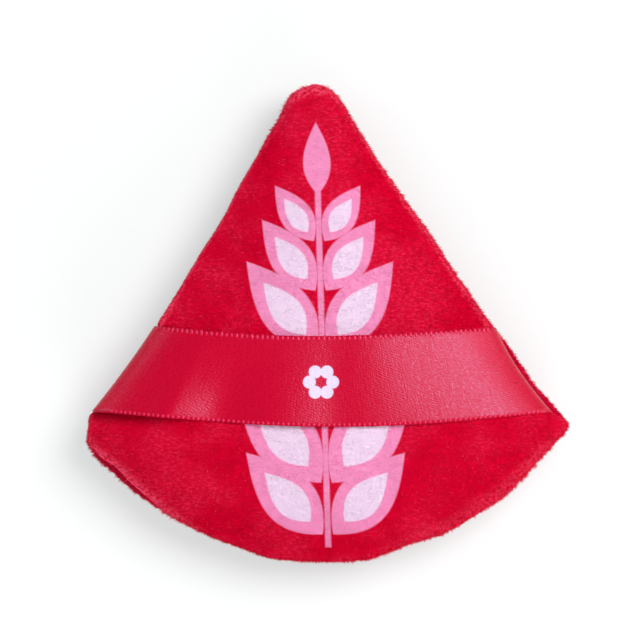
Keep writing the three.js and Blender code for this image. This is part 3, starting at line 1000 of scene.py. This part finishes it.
def velour_material(name, printed):
    material, tree = node_material(name)
    place = value_of(tree, "ShaderNodeTexCoord", output="Object")

    def at_point(label):
        return value_of(tree, "ShaderNodeAttribute", output="Fac", attribute_name=label)

    # The back's darker red is painted shade for its lip
    base = RED if printed else BACK_SHADE_RED
    if printed:
        masks = joined(tree, "ShaderNodeGroup", {0: place}, node_tree=sprig)
        base = colour_mix(tree, masks.outputs["Pink"], RED, PINK)
        base = colour_mix(tree, masks.outputs["Pale"], base, PALE)
    knit = noise(tree, mapped(place, Scale=ROWS), 1, 2)
    tone = noise(tree, place, NAP, 3) * 0.10 + (knit * 0.15 + 0.885)

    x, y, z = STROKED_SHEEN_PLACE
    moved = (-x * STROKED_SHEEN_NARROW, -y, -z)
    around_it = mapped(place, Location=moved, Scale=(STROKED_SHEEN_NARROW, 1, 1))
    away = value_of(tree, "ShaderNodeVectorMath", {0: around_it}, "Value", operation="LENGTH")
    stroked = maths("MAXIMUM", away * STROKED_SHEEN_FADES + STROKED_SHEEN_MORE, STROKED_SHEEN_LEAST)
    patch = softly_over(noise(tree, place, PATCHES, 1) * 0.6 + stroked, 0.40, 0.60)
    row = (softly_over(knit, 0.46, 0.66) * ROW_MOST + ROW_LEAST) * patch

    # Painted sheen: the knit's rows are lightened, most of all right of the stem
    colour = colour_mix(tree, row, shaded_by(tree, base, tone), STREAK_SHEEN, "LIGHTEN")
    # Painted highlight: flecked locks are lightened
    colour = colour_mix(tree, at_point("fleck"), colour, FLECK_HIGHLIGHT, "LIGHTEN")
    # Painted sheen: a pale colour laid where the pile is brushed up
    brushed_and_sheen = at_point("brushed") * softly_over(noise(tree, place, TUFTS, 2), 0.38, 0.60)
    colour = colour_mix(tree, brushed_and_sheen * BRUSHED_SHEEN_MOST, colour, BRUSHED_SHEEN)
    # Painted shade: the cloth is darkened down in the seam's groove
    colour = colour_mix(tree, at_point("groove") * GROOVE_SHADE_MOST, colour, GROOVE_SHADE_RED)
    look = {
        "Base Color": colour,
        "Roughness": 1.0,
        "Specular IOR Level": 0.0,
        "Sheen Weight": 0.12,
        "Sheen Roughness": 0.3,
        "Sheen Tint": (1.0, 0.5, 0.65, 1),
    }
    surface(tree, look, noise(tree, place, GRAIN, 2), strength=0.4, depth=0.00008)
    return material


printed_velour = velour_material("printed_velour", True)
plain_velour = velour_material("plain_velour", False)
front_cover.data.materials.append(printed_velour)
back_cover.data.materials.append(plain_velour)
print("Velour mixed")

# %% [markdown]
# The pile is what makes velour. Real pile has hundreds of fibres to the square millimetre; from
# arm's length they show as small locks that lean along the rows of the knit and draw together in
# tufts. Hair curves could do it, but an exported part needs meshes, so Geometry Nodes set a small
# three-sided spike on each of many random points, lean it and vary it.

# %% Pile tree
LOCK_FLATNESS = 0.35  # a lock is flat, and this much thinner than it is wide
LOCK_SIZES = (0.6, 1.15)
LOCK_SHORTEST = 0.4  # of its length, however much its tuft draws it down
TUFT_PULL = 6.0  # how far a tuft's noise bends its locks
NOISE_MEAN = 0.5
BRUSHED_WILDER, BRUSHED_FLECKS = 1.2, 8.0  # what brushing adds to the pull and to the flecks
COMBED_CALMER, COMBED_LOWER = -0.85, -0.35  # what combing takes from the pull and the length
FLECK_STRENGTHS = (0.1, 0.6)
PILE_NUMBERS = ("Locks per mm2", "Length", "Width", "Lean", "Disorder", "Fleck share",
                "Tuft size", "Tufting")


def empty_tree(name, inputs):
    """A Geometry Nodes tree with named inputs, and what will be given to it by name."""
    tree = bpy.data.node_groups.new(name, "GeometryNodeTree")
    for label, kind in {"Geometry": "Geometry", **inputs, "Finish": "Material"}.items():
        tree.interface.new_socket(label, in_out="INPUT", socket_type="NodeSocket" + kind)
    tree.interface.new_socket("Geometry", in_out="OUTPUT", socket_type="NodeSocketGeometry")
    sockets = tree.nodes.new("NodeGroupInput").outputs
    return tree, {socket.name: Value(socket) for socket in sockets}


def finished(tree, instances, finish, rounded):
    """Ends a tree: the instances become a real mesh with its material."""
    mesh = value_of(tree, "GeometryNodeRealizeInstances", {0: instances})
    if rounded:
        mesh = value_of(tree, "GeometryNodeSetShadeSmooth", {"Geometry": mesh})
    mesh = value_of(tree, "GeometryNodeSetMaterial", {"Geometry": mesh, "Material": finish})
    joined(tree, "NodeGroupOutput", {0: mesh})
    return tree


def ground_value(tree, label):
    """A value that the ground carries at each point."""
    kind = "GeometryNodeInputNamedAttribute"
    return value_of(tree, kind, {"Name": label}, data_type="FLOAT")


def drawn_lot(tree, low, high, seed):
    """A random number for each lock or loop."""
    inputs = {2: low, 3: high, "Seed": seed}
    return value_of(tree, "FunctionNodeRandomValue", inputs, output=1, data_type="FLOAT")


def pile_tree():
    inputs = {**dict.fromkeys(PILE_NUMBERS, "Float"), "Nap": "Vector", "Seed": "Int"}
    tree, given = empty_tree("pile", inputs)
    seed = given["Seed"]
    density = given["Locks per mm2"] * 1e6 * ground_value(tree, "pile_share")
    points = joined(
        tree,
        "GeometryNodeDistributePointsOnFaces",
        {"Mesh": given["Geometry"], "Density": density, "Seed": seed},
    )
    normal = Value(points.outputs["Normal"])
    jitter = value_of(
        tree,
        "FunctionNodeRandomValue",
        {0: (-1, -1, -1), 1: (1, 1, 1), "Seed": seed},
        data_type="FLOAT_VECTOR",
    )
    stray = maths("SCALE", jitter, given["Disorder"])
    nap = maths("SCALE", given["Nap"], given["Lean"])

    per_tuft = 1.0 / given["Tuft size"]
    tufts = joined(tree, "ShaderNodeTexNoise", {"Scale": per_tuft, "Detail": 1.0}).outputs
    brushed_and_sheen, combed_down = ground_value(tree, "brushed"), ground_value(tree, "combed")
    pull = given["Tufting"] * TUFT_PULL * (brushed_and_sheen * BRUSHED_WILDER + 1.0)
    pull = pull * (combed_down * COMBED_CALMER + 1.0)
    swirl = maths("SCALE", Value(tufts["Color"]) - (NOISE_MEAN,) * 3, pull)
    pointing = normal + nap + stray + swirl
    turn = value_of(tree, "FunctionNodeAlignRotationToVector", {"Vector": pointing}, axis="Z")
    turn = value_of(
        tree,
        "FunctionNodeAlignRotationToVector",
        {"Rotation": turn, "Vector": normal},
        axis="Y",
        pivot_axis="Z",
    )

    radius = given["Width"] * 0.5
    spike = value_of(
        tree,
        "GeometryNodeMeshCone",
        {"Vertices": 3, "Radius Top": 0.0, "Radius Bottom": radius, "Depth": given["Length"]},
        output="Mesh",
        fill_type="NGON",
    )
    flat = {"Geometry": spike, "Scale": (1.0, LOCK_FLATNESS, 1.0)}
    lock = value_of(tree, "GeometryNodeTransform", flat)
    size = drawn_lot(tree, *LOCK_SIZES, seed)
    longer = maths("MAXIMUM", (Value(tufts[0]) - NOISE_MEAN) * pull + 1.0, LOCK_SHORTEST)
    longer = longer * (combed_down * COMBED_LOWER + 1.0)
    scale = value_of(tree, "ShaderNodeCombineXYZ", {0: size, 1: size, 2: size * longer})
    placed = value_of(
        tree,
        "GeometryNodeInstanceOnPoints",
        {"Points": points.outputs[0], "Instance": lock, "Rotation": turn, "Scale": scale},
    )

    # Flecks are a painted highlight, more of them where the pile is brushed up
    likely = (brushed_and_sheen * BRUSHED_FLECKS + 1.0) * given["Fleck share"]
    catches = maths("LESS_THAN", drawn_lot(tree, 0.0, 1.0, 7), likely)
    fleck = catches * drawn_lot(tree, *FLECK_STRENGTHS, 8)
    flecked = value_of(
        tree,
        "GeometryNodeStoreNamedAttribute",
        {"Geometry": placed, "Name": "fleck", "Value": fleck},
        data_type="FLOAT",
        domain="INSTANCE",
    )
    return finished(tree, flecked, given["Finish"], rounded=False)


def socket_ids(tree):
    """How a modifier calls the tree's inputs, by their names."""
    items = tree.interface.items_tree
    return {item.name: item.identifier for item in items if item.in_out == "INPUT"}


pile = pile_tree()
print("Pile inputs:", list(socket_ids(pile)))

# %% [markdown]
# The locks grow on a copy of each cover that says, at every point, how dense they stand there.
# They are left out under the ribbon and deep in the groove, and the edges get more of them. The
# front is worked in three passes with the nap in three directions, which also keeps each piece
# small enough to load.

# %% Grow the pile
GROOVE_RINGS = 5  # the rings of the back's rolled edge that lie deep in the groove
BARE_RINGS = 10  # where the back's lip shows, the front's edge has no long pile to hide it
EDGE_NEARS = (-4, 1.5)  # from the crown's middle to the seam; the edge's locks start at 0


def grown(name, ground, tree, values):
    """Runs a tree on a copy of the ground mesh and keeps what it makes as a plain mesh."""
    maker = in_scene(name + "_maker", ground)
    nodes_on = maker.modifiers.new("Maker", "NODES")
    nodes_on.node_group = tree
    for key, value in values.items():
        nodes_on[socket_ids(tree)[key]] = value
    mesh = made_mesh(maker)
    bpy.data.objects.remove(maker)
    mesh.name = name
    piece = in_scene(name, mesh)
    print(name, triangle_count(piece), "triangles")
    return piece


def point_places(mesh):
    """The points of a mesh as an array, in metres."""
    places_flat = np.zeros(len(mesh.vertices) * 3)
    mesh.vertices.foreach_get("co", places_flat)
    return places_flat.reshape(-1, 3)


def ground_for(cover, side, share_at):
    """A copy of a cover with the share of the full pile at each point."""
    ground = cover.data.copy()
    points = point_places(ground) / MM
    outer = np.zeros(len(points))
    count = (CROWN_RINGS + LIP_RINGS) * STATIONS + 1
    nearness = smooth(np.linspace(*EDGE_NEARS, CROWN_RINGS + LIP_RINGS))
    by_ring = np.hstack([[1], *(edge_locks**near for near in nearness)])
    if side > 0:
        outer[:count] = by_ring
        edge = 1 + (CROWN_RINGS - BARE_RINGS) * STATIONS
        bare = np.tile(1 - lip_shows, BARE_RINGS + LIP_RINGS)
        outer[edge : edge + len(bare)] *= bare
    else:
        backwards = [edge_locks**near for near in nearness[::-1]]
        outer[-count:] = np.hstack([*backwards, [1]])
        outer[-count : GROOVE_RINGS * STATIONS - count] = 0
    attribute = ground.attributes.new("pile_share", "FLOAT", "POINT")
    attribute.data.foreach_set("value", outer * share_at(points))
    return ground


ribbon_tree = BVHTree.FromPolygons(
    [Vector(p) for p in ribbon_grid.reshape(-1, 3)], grid_faces(rows, columns).tolist()
)


def free_of_ribbon(points):
    """0 under the ribbon, 1 elsewhere."""
    hits = [ribbon_tree.ray_cast(Vector(point) - UP, UP)[0] for point in points]
    return np.array([float(hit is None) for hit in hits])


VELOUR_PILE = {
    "Locks per mm2": 9.5,
    "Length": 0.00052,
    "Width": 0.00025,
    "Lean": 2.2,
    "Disorder": 0.55,
    "Fleck share": 0.03,
    "Tuft size": 0.0009,
    "Tufting": 0.42,
}
NAPS = [(1.0, -0.25, 0.0), (-1.0, -0.35, 0.0), (0.3, -1.0, 0.0)]

front_ground = ground_for(front_cover, 1, free_of_ribbon)
back_ground = ground_for(back_cover, -1, lambda points: np.ones(len(points)))
front_piles, back_piles = [], []
for k, nap in enumerate(NAPS):
    values = {**VELOUR_PILE, "Nap": nap, "Seed": k + 1, "Finish": printed_velour}
    front_piles.append(grown(f"front_pile_{k + 1}", front_ground, pile, values))
for k, nap in enumerate(NAPS[:2]):
    values = {**VELOUR_PILE, "Nap": nap, "Seed": k + 5, "Finish": plain_velour}
    values["Locks per mm2"] = 8.5
    back_piles.append(grown(f"back_pile_{k + 1}", back_ground, pile, values))
for piece in back_piles:
    points = point_places(piece.data)
    points[:, 2] = np.maximum(points[:, 2], 0)  # the table presses the locks flat
    piece.data.vertices.foreach_set("co", points.ravel())

# %% [markdown]
# Satin is woven so that long threads lie on its face, and so it shines more one way than the
# other. Noise that is drawn out along the threads gives its grain, and the same noise makes the
# shine a little rougher between them. The blossom is printed by a formula, as the sprig is.

# %% Satin
SATIN = linear(200, 1, 45)
BLOSSOM = linear(227, 211, 243)
BLOSSOM_PLACE = (-1.3, -10.2)
BLOSSOM_EDGE = 6.0  # how fast its colour gives way, in shares a millimetre
PETAL_REACH, PETAL_RADIUS, PETALS = 2.0, 1.1, 6
TWILL_SLANT = 24
FLOAT_SLANT, FLOAT_SIZE = -18, (0.55, 0.24)  # the long threads, in degrees and millimetres
WEFT_SLANT, WEFT_SIZE = 90, (2.2, 0.22)
SMOOTHEST = 0.23  # roughness along the threads' middles


def blossom_mask(place):
    """1 on a small printed blossom of round petals, from Object coordinates."""
    x, y = plan_mm(place)
    x, y = x - BLOSSOM_PLACE[0], y - BLOSSOM_PLACE[1]
    petal_turn = 2 * math.pi / PETALS
    angle = maths("FLOORED_MODULO", maths("ARCTAN2", x, y), petal_turn) - petal_turn / 2
    radius = maths("SQRT", x * x + y * y)
    along = radius * maths("COSINE", angle) - PETAL_REACH
    beside = radius * maths("SINE", angle)
    field = PETAL_RADIUS - maths("SQRT", along * along + beside * beside)
    return maths("MULTIPLY_ADD", field, BLOSSOM_EDGE, 0.5, clamp=True)


def satin_material(name, base, printed):
    material, tree = node_material(name)
    weave = value_of(tree, "ShaderNodeUVMap", uv_map="weave")
    slanted = mapped(weave, Rotation=(0, 0, math.radians(TWILL_SLANT)))
    bands = {
        "Vector": slanted, "Scale": 0.75, "Distortion": 3.0, "Detail": 2.0, "Detail Scale": 2.0
    }
    twill = value_of(tree, "ShaderNodeTexWave", bands, output="Fac", bands_direction="Y")

    def threads_along(slant, size):
        """Noise drawn out into short threads: their slant in degrees, their length and width."""
        turn = (0, 0, math.radians(slant))
        return noise(tree, mapped(weave, "TEXTURE", Rotation=turn, Scale=(*size, 1)), 1, 1)

    floats = threads_along(FLOAT_SLANT, FLOAT_SIZE)
    wefts = threads_along(WEFT_SLANT, WEFT_SIZE)
    tone = wefts * 0.10 + (floats * 0.14 + (twill * 0.02 + 0.87))
    height = wefts * 0.6 + (twill * 0.2 + floats)
    loose = softly_over(floats, 0.36, 0.64) * 0.14 + SMOOTHEST
    loose = softly_over(wefts, 0.36, 0.64) * 0.06 + loose
    colour = base
    if printed:
        place = value_of(tree, "ShaderNodeTexCoord", output="Object")
        colour = colour_mix(tree, blossom_mask(place), base, BLOSSOM)
    look = {
        "Base Color": shaded_by(tree, colour, tone),
        "Roughness": loose,
        "Specular IOR Level": 0.15,
        "Specular Tint": (0.62, 0.64, 0.98, 1),
        "Anisotropic": 0.6 if printed else 0.0,
        "Anisotropic Rotation": 0.25,
    }
    if printed:
        look["Tangent"] = value_of(
            tree, "ShaderNodeTangent", direction_type="UV_MAP", uv_map="weave"
        )
    surface(tree, look, height, strength=1.0, depth=0.00004)
    return material


satin_band.data.materials.append(satin_material("satin", SATIN, True))
print("Satin woven")

# %% [markdown]
# A woven ribbon ends in a selvedge: the weft turns round the last warp threads and leaves a row
# of tiny loops. Below, they show as beads on the edge, and above as short bars across it, less
# even in length and turn. Both are the same job for Geometry Nodes, an oval set at even steps
# along a line, with a fixed seed for what varies.

# %% Selvedge tree
def selvedge_tree():
    inputs = {"Pitch": "Float", "Loop size": "Vector", "Unevenness": "Float"}
    tree, given = empty_tree("selvedge", inputs)
    line = value_of(tree, "GeometryNodeMeshToCurve", {"Mesh": given["Geometry"]})
    stepped = {"Curve": line, "Length": given["Pitch"]}
    steps = joined(tree, "GeometryNodeCurveToPoints", stepped, mode="LENGTH").outputs
    ball = {"Segments": 7, "Rings": 5, "Radius": 0.5}
    oval = value_of(tree, "GeometryNodeMeshUVSphere", ball, output="Mesh")
    along = {"Vector": steps["Tangent"]}
    turn = value_of(tree, "FunctionNodeAlignRotationToVector", along, axis="X")
    askew = drawn_lot(tree, -1.0, 1.0, 1) * given["Unevenness"]
    longer = drawn_lot(tree, -1.0, 1.0, 2) * given["Unevenness"] + 1.0
    turned_by = value_of(tree, "ShaderNodeCombineXYZ", {"Z": askew})
    leaning = {"Rotation": turn, "Rotate By": turned_by}
    lean = value_of(tree, "FunctionNodeRotateRotation", leaning, rotation_space="LOCAL")
    size = maths("SCALE", given["Loop size"], longer)
    placed = value_of(
        tree,
        "GeometryNodeInstanceOnPoints",
        {"Points": steps["Points"], "Instance": oval, "Rotation": lean, "Scale": size},
    )
    return finished(tree, placed, given["Finish"], rounded=True)


selvedge = selvedge_tree()
print("Selvedge inputs:", list(socket_ids(selvedge)))

# %% Weave the selvedges
# The loops are a lighter red than the ribbon's satin, a painted highlight
lit_selvedge_satin = satin_material("lit_selvedge_satin", linear(221, 36, 78), False)


def edge_line(row, inward, left, right):
    """A line along an edge of the ribbon, moved in from it, from the x left to the x right."""
    edge = ribbon_grid[row]
    other = ribbon_grid[row + (1 if row == 0 else -1)]
    toward = (other - edge) / np.linalg.norm(other - edge, axis=1)[:, None]
    points = (edge + inward * toward)[WRAP_STEPS + 2 : -(WRAP_STEPS + 2)]
    points = points[(points[:, 0] > left) & (points[:, 0] < right)]
    mesh = bpy.data.meshes.new("edge_line")
    pairs = [(k, k + 1) for k in range(len(points) - 1)]
    mesh.from_pydata((points * MM).tolist(), pairs, [])
    return mesh


def woven(name, line, size, unevenness):
    """One row of loops along a line."""
    values = {"Pitch": 0.00087, "Loop size": size, "Unevenness": unevenness}
    return grown(name, line, selvedge, {**values, "Finish": lit_selvedge_satin})


lower_line = edge_line(0, 0.34, -37.6, 36.8)
upper_line = edge_line(rows - 1, 0.42, -28.5, 27.5)
lower_loops = woven("lower_selvedge", lower_line, (0.00045, 0.00072, 0.00026), 0.06)
upper_loops = woven("upper_selvedge", upper_line, (0.00047, 0.00098, 0.00027), 0.2)

# %% Sponge and thread
def simple_fabric(name, colour, scale, roughness):
    material, tree = node_material(name)
    place = value_of(tree, "ShaderNodeTexCoord", output="Object")
    inputs = {"Vector": place, "Scale": scale}
    cells = value_of(tree, "ShaderNodeTexVoronoi", inputs, output="Distance")
    look = {"Base Color": shaded_by(tree, colour, cells * 0.3 + 0.8), "Roughness": roughness}
    surface(tree, look, cells, strength=0.6, depth=0.0002)
    return material


sponge = simple_fabric("sponge", linear(247, 241, 228), 1400, 0.95)
thread = simple_fabric("sewing_thread", linear(190, 12, 45), 4000, 0.6)
for name in ("foam_core", "seam_needle_thread", "seam_bobbin_thread", "closing_thread"):
    nodes[name].data.materials.clear()
    nodes[name].data.materials.append(sponge if name == "foam_core" else thread)
print("Sponge and thread finished")

# %% [markdown]
# Last, each piece is told what it rides on, and the frame pieces that the covers and the ribbon
# stand for are hidden. The covers are padded and the ribbon is a stretched sheet.

# %% Fit the dressed pieces to the frame
satin_pieces = (satin_band, lower_loops, upper_loops)
for piece in (front_cover, back_cover, *front_piles, *back_piles, *satin_pieces):
    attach(piece, "root")
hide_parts("front_panel")
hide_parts("back_panel")
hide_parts("ribbon")
